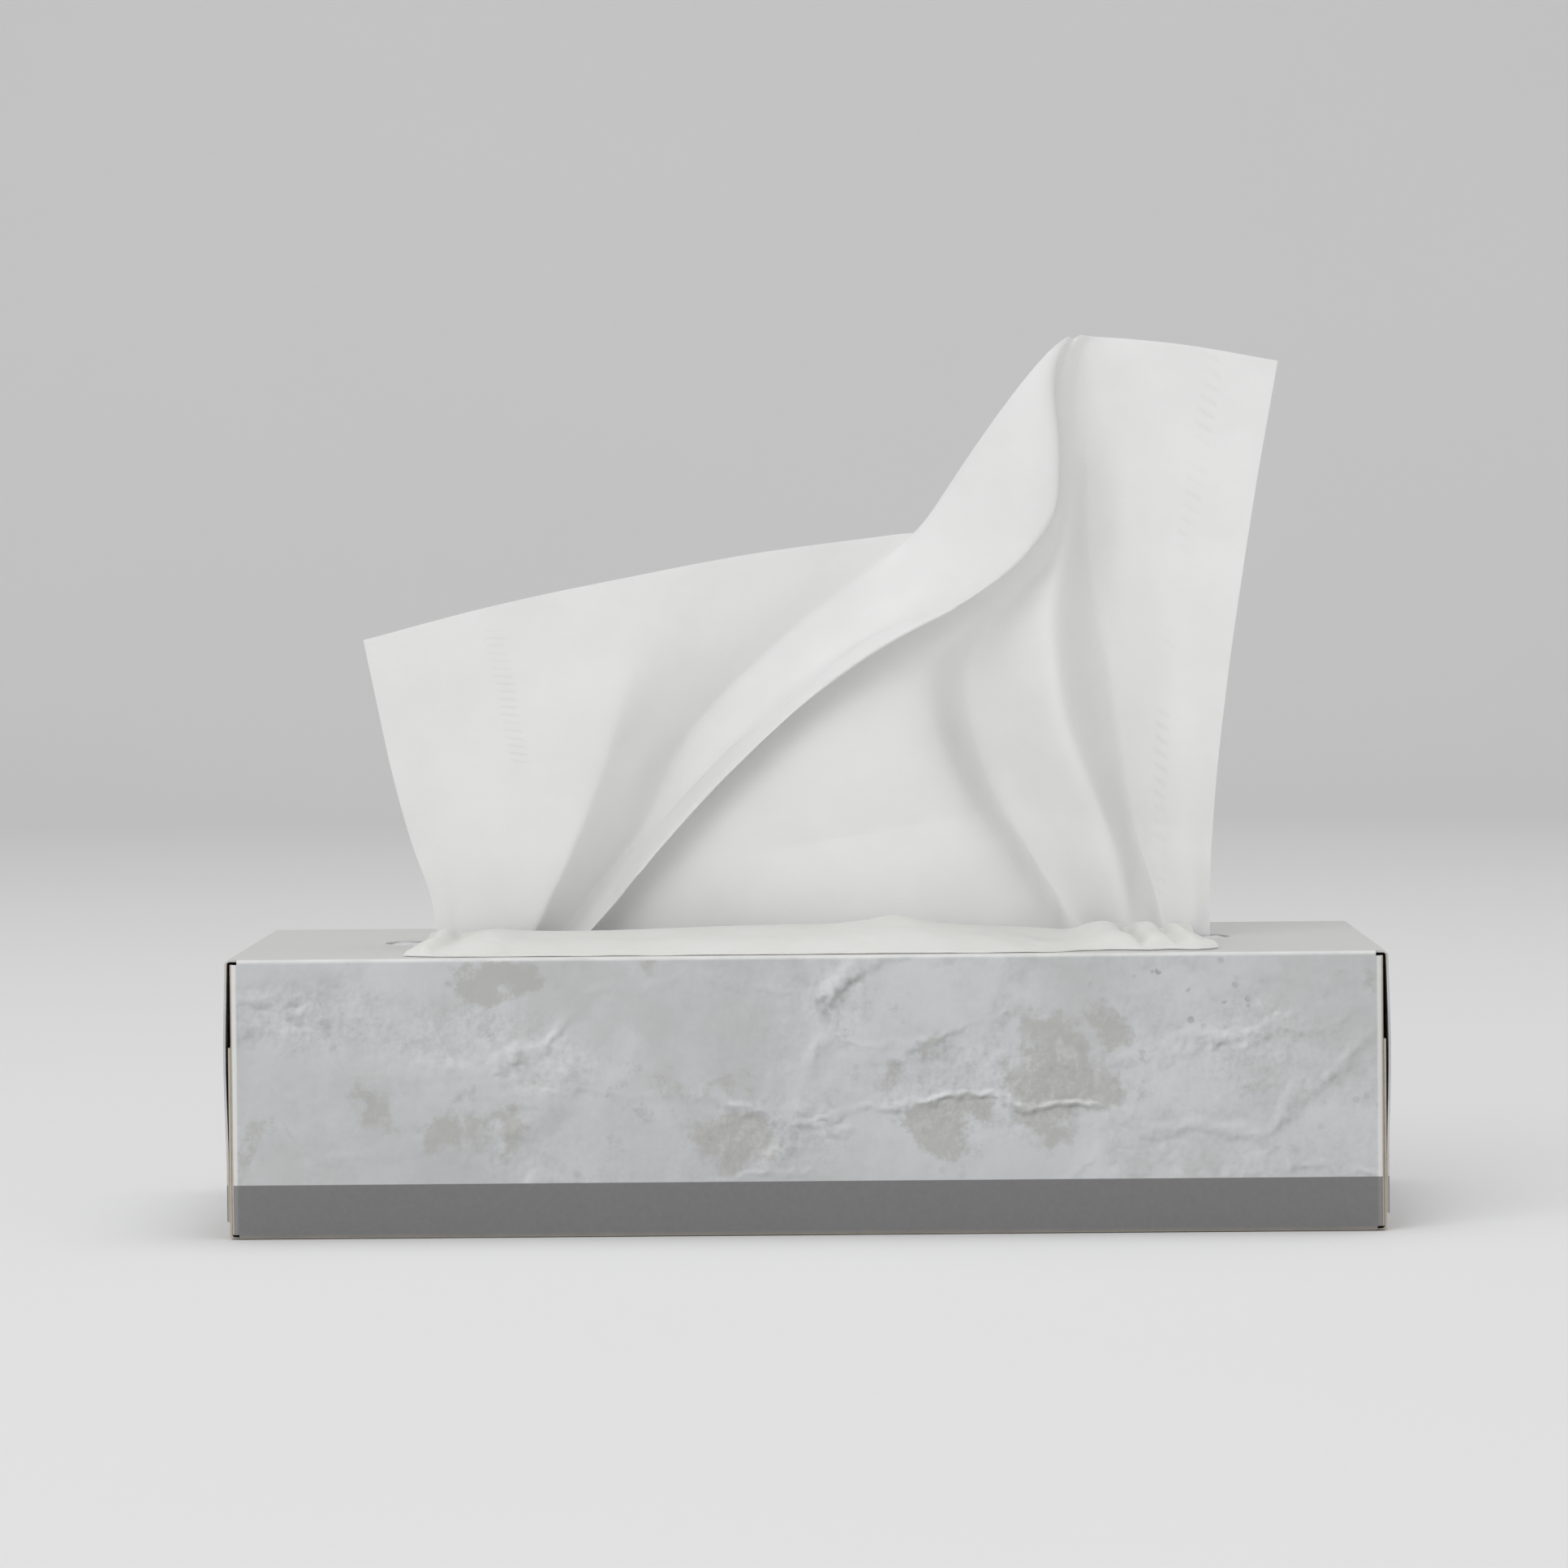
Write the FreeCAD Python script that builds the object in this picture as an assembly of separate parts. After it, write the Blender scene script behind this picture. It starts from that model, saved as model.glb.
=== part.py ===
"""Flat tissue box: folded carton, slit film, pile of folded sheets, the next sheet and the raised one.

Millimetres. The origin is the middle of the carton's base, X runs end to end, Y front to back
(the front panel is at -Y) and Z up.
"""
import FreeCAD, Part
import math
import os
from FreeCAD import Vector

# Carton: one folded and glued blank of board
LENGTH = 230.0
DEPTH = 115.0
HEIGHT = 55.5
BOARD = 0.45
FOLD_RADIUS = 1.0
GLUE_LINE = 0.05
SEAM_FLAP = 14.0
DUST_FLAP = 42.0
INNER_END_FLAP = 38.0
OUTER_FLAP_SHORT = 3.5
END_BOW = 0.6
END_GLUE = 16.0
BOW_RADIUS = 260.0

# Oval opening in the top panel, and the film glued under it
OPENING_LENGTH = 174.0
OPENING_WIDTH = 56.0
CUT_DEPTH = 0.9
FILM = 0.2
FILM_GLUE = 0.15
FILM_BORDER = 10.0
FILM_RISE = 5.0
SLIT_LENGTH = 172.0
SLIT_SPREAD = 13.0
SLIT_CUT = 15.0
FILM_STEPS_LONG = 24
FILM_STEPS_WIDE = 14

# Sheets
END_ROOM = 17.0
SIDE_ROOM = 10.0
ROOM_ABOVE_PILE = 9.5
SHEET_WIDTH = LENGTH - END_ROOM
SHEET_FOLDED = DEPTH - SIDE_ROOM
PILE_HEIGHT = HEIGHT - ROOM_ABOVE_PILE
PILE_FOLDS = 23
FOLD_RIDGE = 0.8
PAPER = 0.3
REST_GAP = 0.3

# Raised sheet: each line follows a fold or an edge from the slit to the free top edge,
# as (x, y, height above the top panel)
LEFT_EDGE = (
    (-76.0, -1.0, 0.0), (-77.5, -3.0, 10.0), (-81.0, -5.0, 20.0), (-84.5, -7.0, 33.0),
    (-88.0, -9.0, 50.0), (-90.5, -10.0, 62.5),
)
LEFT_PANEL = ((-67.0, -2.5, 0.0), (-66.0, -7.0, 17.0), (-66.0, -9.5, 35.0), (-66.0, -10.5, 52.0), (-65.0, -10.0, 69.0))
SOFT_RIDGE = (
    (-57.5, -4.0, 0.0), (-49.0, -9.5, 17.0), (-42.0, -12.5, 35.0), (-37.5, -12.0, 50.0),
    (-34.0, -8.0, 62.0), (-32.5, -5.0, 74.3),
)
LEFT_SLOPE = (
    (-55.0, -1.2, 0.0), (-46.0, -2.5, 15.0), (-38.0, -3.0, 29.0), (-31.5, -2.5, 45.0),
    (-22.0, 0.0, 61.0), (-12.5, 3.0, 79.8),
)
LEFT_VALLEY = (
    (-51.5, 2.5, 0.0), (-43.0, 6.0, 12.0), (-34.0, 9.5, 23.0), (-24.0, 12.0, 43.0),
    (-7.0, 13.5, 60.0), (12.0, 14.0, 75.0), (23.0, 14.0, 83.6),
)
DIAGONAL_RIDGE = (
    (-46.8, -4.5, 0.0), (-39.5, -7.0, 8.0), (-32.2, -9.5, 17.0), (-15.4, -13.5, 35.2),
    (1.3, -15.5, 50.0), (17.9, -16.0, 61.4), (34.5, -16.0, 70.3), (46.0, -15.0, 79.5),
    (51.3, -14.0, 87.5), (52.3, -12.5, 98.0), (52.4, -10.0, 118.5), (54.6, -9.0, 123.2),
)
HIDDEN_VALLEY = (
    (-44.5, 1.0, 0.0), (-38.5, 1.5, 8.0), (-31.5, 2.0, 16.5), (-15.6, 2.5, 33.5),
    (0.3, 2.5, 47.5), (16.5, 2.5, 58.5), (33.5, 1.5, 67.5), (45.5, 0.0, 77.0),
    (51.2, -2.0, 86.0), (52.8, -3.0, 98.0), (53.6, -4.0, 118.0), (56.6, -5.5, 123.4),
)
MIDDLE_RIDGE = (
    (49.0, -3.0, 0.0), (42.0, -4.5, 13.0), (34.3, -5.5, 26.0), (27.0, -3.0, 43.0), (25.5, 0.5, 54.0),
    (32.5, 1.8, 63.5), (40.0, 1.2, 70.0), (47.5, 0.2, 76.5), (52.2, -1.8, 86.0), (53.6, -2.8, 98.0),
    (54.4, -3.6, 118.0), (57.0, -5.0, 123.4),
)
MIDDLE_VALLEY = (
    (56.0, 3.0, 0.0), (43.0, 7.0, 22.0), (34.5, 9.0, 42.5), (33.5, 7.5, 56.0), (38.0, 3.5, 65.5),
    (44.0, 1.5, 71.0), (49.5, 0.8, 77.0), (53.2, -1.0, 86.0), (54.5, -2.2, 98.0),
    (55.2, -3.2, 118.0), (57.4, -4.6, 123.4),
)
RIGHT_RIDGE = (
    (67.0, -3.0, 0.0), (60.5, -6.0, 25.0), (53.5, -7.5, 43.0), (50.5, -5.5, 60.0), (50.8, -1.5, 71.0),
    (52.8, 0.5, 79.0), (54.5, 0.0, 87.0), (55.6, -1.0, 98.0), (56.3, -2.4, 118.0), (57.9, -4.0, 123.3),
)
RIGHT_VALLEY = (
    (74.3, 2.0, 0.0), (68.0, 6.0, 22.0), (63.3, 9.0, 54.0), (58.9, 9.0, 77.5),
    (58.2, 5.0, 98.0), (58.3, 0.0, 116.0), (58.7, -3.0, 123.3),
)
RIGHT_PANEL = ((79.0, -0.8, 0.0), (77.0, -3.5, 29.0), (75.0, -4.0, 54.0), (75.5, -4.5, 87.0), (77.0, -5.5, 121.5))
RIGHT_EDGE = (
    (82.5, 0.0, 0.0), (82.6, -1.5, 9.0), (83.7, -5.0, 29.0), (86.4, -8.0, 54.0),
    (91.4, -9.0, 87.0), (97.0, -8.0, 117.8),
)
SHEET_LINES = (
    LEFT_EDGE, LEFT_PANEL, SOFT_RIDGE, LEFT_SLOPE, LEFT_VALLEY, DIAGONAL_RIDGE, HIDDEN_VALLEY,
    MIDDLE_RIDGE, MIDDLE_VALLEY, RIGHT_RIDGE, RIGHT_VALLEY, RIGHT_PANEL, RIGHT_EDGE,
)
# Number of strips from each line to the next
STRIP_STEPS = (3, 3, 2, 3, 4, 3, 7, 3, 3, 3, 2, 2, 0)
ROWS = 13
TURN_BULGE = 0.8
SPREAD_IN_BOX = 1.03
NARROW_IN_BOX = 0.6

# Next sheet: its loose front half lies over the front of the top panel, as (x, crest height, front y)
NEXT_SHEET = (
    (-80.5, 1.2, -50.0), (-76.0, 3.4, -53.0), (-68.0, 3.2, -55.0), (-60.0, 2.4, -55.5),
    (-48.0, 1.6, -55.5), (-36.0, 1.6, -55.5), (-22.0, 2.6, -55.8), (-8.0, 3.7, -55.8),
    (6.0, 4.3, -55.8), (18.0, 5.4, -55.8), (31.0, 3.9, -55.8), (43.0, 1.9, -55.5),
    (52.0, 0.9, -54.5), (57.5, 1.8, -51.0), (62.0, 3.2, -49.0), (67.5, 2.8, -51.5),
    (72.5, 1.2, -50.0), (77.0, 2.9, -52.0), (82.0, 0.9, -47.0),
)
CREST_BACK = 20.0
SLOPE_BACK = 34.0
FOOT_BACK = 46.0
SLOPE_RISE = 0.75
FOOT_RISE = 0.4
NEXT_SHEET_CLEAR = 0.55
SLOPE_GAP = 0.1
FOOT_GAP = 0.2
NEXT_SHEET_DEPTH = 5.0
ROOT_SHARE = 0.65


def folded_strip(points, radii, thickness):
    """Section of a folded board, from the corner points of its outer face with the inside on the right."""
    outer, inner = [], []
    count = len(points)
    steps = []
    for i in range(count - 1):
        length = math.dist(points[i], points[i + 1])
        steps.append(((points[i + 1][0] - points[i][0]) / length, (points[i + 1][1] - points[i][1]) / length))
    for i in range(count):
        before = steps[max(i - 1, 0)]
        after = steps[min(i, count - 2)]
        if i in (0, count - 1):
            outer.append([points[i]])
            inner.append([(points[i][0] + after[1] * thickness, points[i][1] - after[0] * thickness)])
            continue
        turn = math.atan2(before[0] * after[1] - before[1] * after[0], before[0] * after[0] + before[1] * after[1])
        radius = radii[i - 1]
        reach = radius * math.tan(abs(turn) / 2)
        side = -1.0 if turn < 0 else 1.0
        centre = (
            points[i][0] - before[0] * reach - side * before[1] * radius,
            points[i][1] - before[1] * reach + side * before[0] * radius,
        )
        outer.append([])
        inner.append([])
        for part in (0.0, 0.5, 1.0):
            angle = turn * part
            normal = (side * before[1], -side * before[0])
            spoke = (
                normal[0] * math.cos(angle) - normal[1] * math.sin(angle),
                normal[0] * math.sin(angle) + normal[1] * math.cos(angle),
            )
            far = radius + (thickness if side > 0 else -thickness)
            outer[-1].append((centre[0] + spoke[0] * radius, centre[1] + spoke[1] * radius))
            inner[-1].append((centre[0] + spoke[0] * far, centre[1] + spoke[1] * far))
    return outer, inner


def strip_face(points, radii, thickness, place):
    """Flat face of a folded strip; place turns a pair of section values into a point."""
    outer, inner = folded_strip(points, radii, thickness)
    path = [[place(*p) for p in corner] for corner in outer]
    path += [[place(*p) for p in reversed(corner)] for corner in reversed(inner)]
    edges = []
    for here, following in zip(path, path[1:] + path[:1]):
        if len(here) == 3:
            edges.append(Part.Arc(*here).toShape())
        edges.append(Part.makeLine(here[-1], following[0]))
    return Part.Face(Part.Wire(edges))


def in_yz(x):
    """Section plane across the carton at x."""
    return lambda y, z: Vector(x, y, z)


def in_xz(y):
    """Section plane along the carton at y."""
    return lambda x, z: Vector(x, y, z)


def in_xy(z):
    """Section plane level with the base at z."""
    return lambda x, y: Vector(x, y, z)


LAYER = BOARD + GLUE_LINE
SLEEVE_END = LENGTH / 2 - 2 * LAYER - FOLD_RADIUS - BOARD


def sleeve():
    """Front, base, back and top panels, with the seam flap glued inside the back panel."""
    half = DEPTH / 2
    points = (
        (half, HEIGHT - FOLD_RADIUS), (half, 0.0), (-half, 0.0), (-half, HEIGHT),
        (half - LAYER, HEIGHT), (half - LAYER, HEIGHT - SEAM_FLAP),
    )
    face = strip_face(points, (FOLD_RADIUS,) * 4, BOARD, in_yz(-SLEEVE_END))
    return face.extrude(Vector(2 * SLEEVE_END, 0, 0))


def end_flaps():
    """The four flaps that close the right end, innermost first."""
    half = DEPTH / 2
    dust_x = LENGTH / 2 - 2 * LAYER
    inner_x = LENGTH / 2 - LAYER
    outer_x = LENGTH / 2
    bow_height = (HEIGHT + END_GLUE) / 2
    width = DEPTH - 2 * FOLD_RADIUS
    front = ((dust_x, -half + DUST_FLAP), (dust_x, -half), (SLEEVE_END, -half))
    back = ((SLEEVE_END, half), (dust_x, half), (dust_x, half - DUST_FLAP))
    base = ((inner_x, INNER_END_FLAP), (inner_x, 0.0), (SLEEVE_END, 0.0))
    top = (
        (SLEEVE_END, HEIGHT), (outer_x, HEIGHT), (outer_x + END_BOW, bow_height),
        (outer_x, END_GLUE), (outer_x, OUTER_FLAP_SHORT),
    )
    flaps = []
    for section in (front, back):
        face = strip_face(section, (FOLD_RADIUS,), BOARD, in_xy(FOLD_RADIUS))
        flaps.append(face.extrude(Vector(0, 0, HEIGHT - 2 * FOLD_RADIUS)))
    for section, radii in ((base, (FOLD_RADIUS,)), (top, (FOLD_RADIUS, BOW_RADIUS, BOW_RADIUS))):
        face = strip_face(section, radii, BOARD, in_xz(-width / 2))
        flaps.append(face.extrude(Vector(0, width, 0)))
    return flaps


def oval_prism(length, width, low, high):
    """Upright prism on an oval about the middle of the top panel."""
    oval = Part.Ellipse(Vector(0, 0, low), length / 2, width / 2).toShape()
    return Part.Face(Part.Wire([oval])).extrude(Vector(0, 0, high - low))


def carton():
    """The blank, folded and glued, with its oval opening."""
    right = end_flaps()
    left = [flap.mirror(Vector(0, 0, 0), Vector(1, 0, 0)) for flap in right]
    blank = sleeve().fuse(right + left).removeSplitter()
    opening = oval_prism(OPENING_LENGTH, OPENING_WIDTH, HEIGHT - CUT_DEPTH, HEIGHT + CUT_DEPTH)
    return blank.cut(opening)


def back_of(columns, thickness):
    """The same sheet's other face: every point moved back along the normal there."""
    back = []
    for j, column in enumerate(columns):
        before, after = columns[max(j - 1, 0)], columns[min(j + 1, len(columns) - 1)]
        line = []
        for i, point in enumerate(column):
            across = after[i] - before[i]
            along_it = column[min(i + 1, len(column) - 1)] - column[max(i - 1, 0)]
            line.append(point - across.cross(along_it).normalize() * thickness)
        back.append(line)
    return back


def crease_facets(here, following):
    """Flat facets between two lines of points, two for each step, cut along the shorter diagonal."""
    facets = []
    for a, b, c, d in zip(here, following, following[1:], here[1:]):
        if a.distanceToPoint(c) < b.distanceToPoint(d):
            facets += [(a, b, c), (a, c, d)]
        else:
            facets += [(a, b, d), (b, c, d)]
    return facets


def sheet_solid(columns, thickness):
    """Closed sheet on a net of points: creased front and back faces, and the rim between them."""
    back = back_of(columns, thickness)
    facets = []
    for side in (columns, back):
        for here, following in zip(side, side[1:]):
            facets += crease_facets(here, following)
    for end in (0, -1):
        facets += crease_facets(columns[end], back[end])
        facets += crease_facets([column[end] for column in columns], [column[end] for column in back])
    faces = [Part.Face(Part.makePolygon([a, b, c, a])) for a, b, c in facets]
    shell = Part.makeShell(faces)
    shell.sewShape()
    solid = Part.makeSolid(Part.Shell(shell.Faces))
    if solid.Volume < 0:
        solid.reverse()
    return solid


def film_height(x, y):
    """Upper face of the film: flat where it is glued, and drawn up towards the slit."""
    reach = math.hypot(2 * x / OPENING_LENGTH, 2 * y / OPENING_WIDTH)
    lift = FILM_RISE * (1 + math.cos(math.pi * min(reach, 1.0))) / 2
    return HEIGHT - BOARD - FILM_GLUE + lift


def film():
    """Film glued under the top panel, with the slit spread into a lens by the paper that it holds."""
    long = OPENING_LENGTH / 2 + FILM_BORDER
    wide = OPENING_WIDTH / 2 + FILM_BORDER
    columns = []
    for j in range(FILM_STEPS_LONG + 1):
        x = -long + 2 * long * j / FILM_STEPS_LONG
        ys = [-wide + 2 * wide * i / FILM_STEPS_WIDE for i in range(FILM_STEPS_WIDE + 1)]
        columns.append([Vector(x, y, film_height(x, y)) for y in ys])
    return sheet_solid(columns, FILM).cut(slit_prism())


def slit_half_width(x):
    """Half the width of the opened slit at x, as the arcs of its lens have it."""
    half, spread = SLIT_LENGTH / 2, SLIT_SPREAD
    radius = (half * half + spread * spread) / (2 * spread)
    return math.sqrt(max(radius * radius - x * x, 0.0)) - (radius - spread)


def slit_prism():
    """Upright prism on the lens of the opened slit."""
    low = HEIGHT - FILM_RISE
    ends = (Vector(-SLIT_LENGTH / 2, 0, low), Vector(SLIT_LENGTH / 2, 0, low))
    front = Part.Arc(ends[0], Vector(0, -SLIT_SPREAD, low), ends[1]).toShape()
    back = Part.Arc(ends[1], Vector(0, SLIT_SPREAD, low), ends[0]).toShape()
    return Part.Face(Part.Wire([front, back])).extrude(Vector(0, 0, SLIT_CUT))


def tissue_stack():
    """The pile of folded sheets, with the ridges of their folds along the front and back."""
    fold = PILE_HEIGHT / PILE_FOLDS
    ridge, valley = SHEET_FOLDED / 2, SHEET_FOLDED / 2 - FOLD_RIDGE
    side = [(valley, BOARD)]
    for k in range(PILE_FOLDS):
        side += [(ridge, BOARD + fold * (k + 0.5)), (valley, BOARD + fold * (k + 1))]
    outline = side + [(-y, z) for y, z in reversed(side)]
    points = [Vector(-SHEET_WIDTH / 2, y, z) for y, z in outline + outline[:1]]
    return Part.Face(Part.makePolygon(points)).extrude(Vector(SHEET_WIDTH, 0, 0))


def spline(points):
    """Smooth line through points."""
    curve = Part.BSplineCurve()
    curve.interpolate([Vector(*p) for p in points])
    return curve


def along(curve, part):
    """Point at a share of a line's length."""
    return curve.getD0(curve.parameterAtDistance(curve.length() * part, curve.FirstParameter))


def between(near, far, share):
    """Column of points at a share of the way from one fold's column to the next one's."""
    return [a * (1 - share) + b * share for a, b in zip(near, far)]


def fold_columns():
    """Columns of the raised sheet above the slit: one on each fold, and the strips between them."""
    folds = []
    for line in SHEET_LINES:
        curve = spline(line)
        points = [along(curve, i / ROWS) for i in range(ROWS + 1)]
        folds.append([Vector(p.x, p.y, HEIGHT + p.z) for p in points])
    columns = []
    for line, strips, here, following in zip(SHEET_LINES, STRIP_STEPS, folds, folds[1:] + folds[-1:]):
        columns.append(here)
        for k in range(1, strips):
            column = between(here, following, k / strips)
            if line is DIAGONAL_RIDGE:
                column = [p + Vector(TURN_BULGE, 0, 0) for p in column]
            columns.append(column)
    return columns


def foot_below(column):
    """The part of a column that goes down through the slit to the pile."""
    foot = column[0]
    rest = BOARD + PILE_HEIGHT + REST_GAP
    return [
        Vector(foot.x * SPREAD_IN_BOX, foot.y * NARROW_IN_BOX, rest),
        Vector(foot.x, foot.y * (1 + NARROW_IN_BOX) / 2, (rest + HEIGHT) / 2),
    ]


def raised_columns():
    """All columns of the raised sheet, each from the pile up to the free edge."""
    return [foot_below(column) + column for column in fold_columns()]


def raised_tissue():
    """The sheet that stands in the slit, ready to be pulled."""
    return sheet_solid(raised_columns(), PAPER)


def next_tissue():
    """The sheet that comes next: out of the slit, over the film's lip and down on the front of the panel."""
    columns = []
    for x, crest, front in NEXT_SHEET:
        edge = slit_half_width(x)
        root = ROOT_SHARE * edge + (1 - ROOT_SHARE) * front_of_foot(x)
        over_lip = max(film_height(x, edge) - HEIGHT, 0.0) + NEXT_SHEET_CLEAR
        on_crest = max(film_height(x, CREST_BACK) - HEIGHT, 0.0) + NEXT_SHEET_CLEAR
        profile = (
            (root, -NEXT_SHEET_DEPTH), (root, 0.0), (edge, over_lip), (CREST_BACK, max(crest, on_crest)),
            (SLOPE_BACK, SLOPE_RISE * crest + SLOPE_GAP), (FOOT_BACK, FOOT_RISE * crest + FOOT_GAP),
            (-front, REST_GAP),
        )
        columns.append([Vector(x, -forward, HEIGHT + h) for forward, h in profile])
    return sheet_solid(columns, PAPER)


def front_of_foot(x):
    """How far the raised sheet's foot stands forward of the middle of the slit at x."""
    feet = [line[0] for line in SHEET_LINES]
    for low, high in zip(feet, feet[1:]):
        if low[0] <= x <= high[0]:
            return -(low[1] + (high[1] - low[1]) * (x - low[0]) / (high[0] - low[0]))
    return 0.0


os.makedirs("parts", exist_ok=True)
NODES = {
    "carton": carton,
    "film": film,
    "tissue_stack": tissue_stack,
    "next_tissue": next_tissue,
    "raised_tissue": raised_tissue,
}
for name, make in NODES.items():
    shape = make()
    print(name, shape.isValid(), len(shape.Solids), round(shape.Volume, 1))
    shape.exportStep(f"parts/{name}.step")
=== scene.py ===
import bpy
import math
from mathutils import Matrix, Vector, noise


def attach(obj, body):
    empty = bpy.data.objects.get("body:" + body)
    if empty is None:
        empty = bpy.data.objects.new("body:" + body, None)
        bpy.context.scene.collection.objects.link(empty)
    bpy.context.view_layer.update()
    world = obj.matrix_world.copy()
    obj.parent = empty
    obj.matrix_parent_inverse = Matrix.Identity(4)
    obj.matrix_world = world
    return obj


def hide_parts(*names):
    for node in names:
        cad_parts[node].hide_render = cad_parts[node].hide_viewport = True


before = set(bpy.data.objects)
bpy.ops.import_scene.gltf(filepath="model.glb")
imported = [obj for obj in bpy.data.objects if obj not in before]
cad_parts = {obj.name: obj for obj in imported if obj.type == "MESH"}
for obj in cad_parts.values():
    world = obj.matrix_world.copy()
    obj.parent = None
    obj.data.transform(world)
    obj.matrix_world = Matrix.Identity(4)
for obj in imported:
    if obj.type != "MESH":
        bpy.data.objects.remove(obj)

bl_info = {
    "name": "Tissue box",
    "version": (1, 0, 0),
    "blender": (4, 5, 0),
    "location": "View3D > Sidebar > Tissue box",
    "description": "Finish of a tissue box: printed carton, slit film, folded sheets and a studio",
    "category": "Object",
}

MM = 0.001
SMOOTH_ANGLE = math.radians(50)

# Carton and opening, in millimetres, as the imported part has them
HEIGHT = 55.5
BOARD = 0.45
OPENING_LENGTH = 174.0
OPENING_WIDTH = 56.0
FILM_BORDER = 10.0
FILM_DROP = 0.6
FILM_RISE = 5.0
FILM_SWELL = 0.72
FILM_SHOULDER = 0.03
FILM_CREASE = 0.9
FILM_COLUMNS = 120
FILM_ROWS = 22
FILM_WALL = 0.00012
SLIT_LENGTH = 172.0
SLIT_SPREAD = 13.0
SHEET_WIDTH = 213.0
SHEET_FOLDED = 105.0
PILE_HEIGHT = 46.0
PILE_FOLDS = 23
REST_GAP = 0.3
PILE_TOP = BOARD + PILE_HEIGHT + REST_GAP
PILE_STEPS = 40
FOLD_PARTS = (0.0, 0.12, 0.3, 0.5, 0.7, 0.88)
FOLD_ROOM = 0.9
FOLD_BULGE = 0.7
FOLD_UNEVEN = 0.35
SAME_POINT = 0.000002

# Raised sheet: folds and edges from the slit to the free top edge, as (x, y, height above the
# top panel), each with how soft its bend is at the foot and at the top, and the steps of the
# panel after it
RAISED_LINES = (
    (1.0, 1.0, 8, (
        (-76, -1, 0), (-77.5, -3, 10), (-81, -5, 20), (-84.5, -7, 33), (-88, -9, 50),
        (-90.5, -10, 62.5),
    )),
    (1.0, 1.0, 8, ((-67, -2.5, 0), (-66, -7, 17), (-66, -9.5, 35), (-66, -10.5, 52), (-65, -10, 69))),
    (0.25, 0.9, 6, (
        (-57.5, -4, 0), (-49, -9.5, 17), (-42, -12.5, 35), (-37.5, -12, 50), (-34, -8, 62),
        (-32.5, -5, 75.6),
    )),
    (0.9, 0.9, 8, (
        (-55, -1.2, 0), (-46, -2.5, 15), (-38, -3, 29), (-31.5, -2.5, 45), (-22, 0, 61),
        (-12.5, 3, 79.2),
    )),
    (0.9, 0.05, 8, (
        (-51.5, 2.5, 0), (-43, 6, 12), (-34, 9.5, 23), (-24, 12, 43), (-7, 13.5, 60), (12, 14, 75),
        (23, 14, 83.6),
    )),
    (0.1, 0.5, 8, (
        (-46.8, -4.5, 0), (-39.5, -7, 8), (-32.2, -9.5, 17), (-15.4, -13.5, 35.2), (1.3, -15.5, 50),
        (17.9, -16, 61.4), (34.5, -16, 70.3), (46, -15, 79.5), (51.3, -14, 87.5), (52.3, -12.5, 98),
        (52.4, -10, 118.5), (54.6, -9, 123.2),
    )),
    (0.3, 0.5, 22, (
        (-45.5, 0, 0), (-40.5, 0, 9.5), (-34, 0, 19), (-18, 0, 37), (-2, -1, 51.5), (14.5, -2, 62.5),
        (31.5, -2.5, 71.5), (43.5, -2.5, 80.5), (49.2, -3, 88.5), (50.8, -4, 98), (51.6, -5, 117),
        (55.4, -6.5, 122.8),
    )),
    (1.0, 0.8, 9, (
        (49, -3, 0), (42, -4.5, 13), (34.3, -5.5, 26), (27, -3, 43), (25.5, 0.5, 54), (32.5, 1.8, 63.5),
        (40, 1.2, 70), (47.5, 0.2, 76.5), (52.2, -0.8, 86), (53.4, -0.5, 98), (54.1, -2, 118),
        (56.8, -4.2, 123.4),
    )),
    (1.0, 0.8, 9, (
        (56, 3, 0), (43, 7, 22), (34.5, 9, 42.5), (33.5, 7.5, 56), (38, 3.5, 65.5), (44, 1.5, 71),
        (49.5, 0.8, 77), (53.3, 0.6, 86), (54.6, 1.2, 98), (55.3, -1, 118), (57.4, -3.9, 123.4),
    )),
    (0.85, 0.8, 9, (
        (67, -3, 0), (60.5, -6, 25), (53.5, -7.5, 43), (50.5, -5.5, 60), (50.8, -1.5, 71),
        (52.8, 0.5, 79), (54.8, 1.8, 87), (56.1, 2.8, 98), (56.8, 0, 118), (58.1, -3.5, 123.3),
    )),
    (0.8, 0.8, 7, (
        (74.3, 2, 0), (68, 6, 22), (63.3, 9, 54), (58.9, 9, 77.5), (58.2, 5, 98), (58.3, 0, 116),
        (58.7, -3, 123.3),
    )),
    (0.9, 0.9, 7, ((79, -0.8, 0), (77, -3.5, 29), (75, -4, 54), (75.5, -4.5, 87), (77, -5.5, 121.5))),
    (1.0, 1.0, 0, (
        (82.5, 0, 0), (82.6, -1.5, 9), (83.7, -5, 29), (86.4, -8, 54), (91.4, -9, 87), (97, -8, 117.8),
    )),
)
RIGHT_PART = 40.0
ROWS_ABOVE = 84
ROWS_BELOW = 6
CREASE_TOP = (39.6, 82.6)
CREASE_FALL = (0.175, 0.118)
SPREAD_IN_BOX = 1.03
NARROW_IN_BOX = 0.6
FULL_DEPTH_RISE = 25.0
GATHERED_RISE = 26.0
STILL_RISE = 6.0
STILL_SHARE = 0.25
CREASE_STEP = 0.8
CREASE_SLOPE = 9.0
CREASE_ENDS = (-15.0, -3.0)

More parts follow.
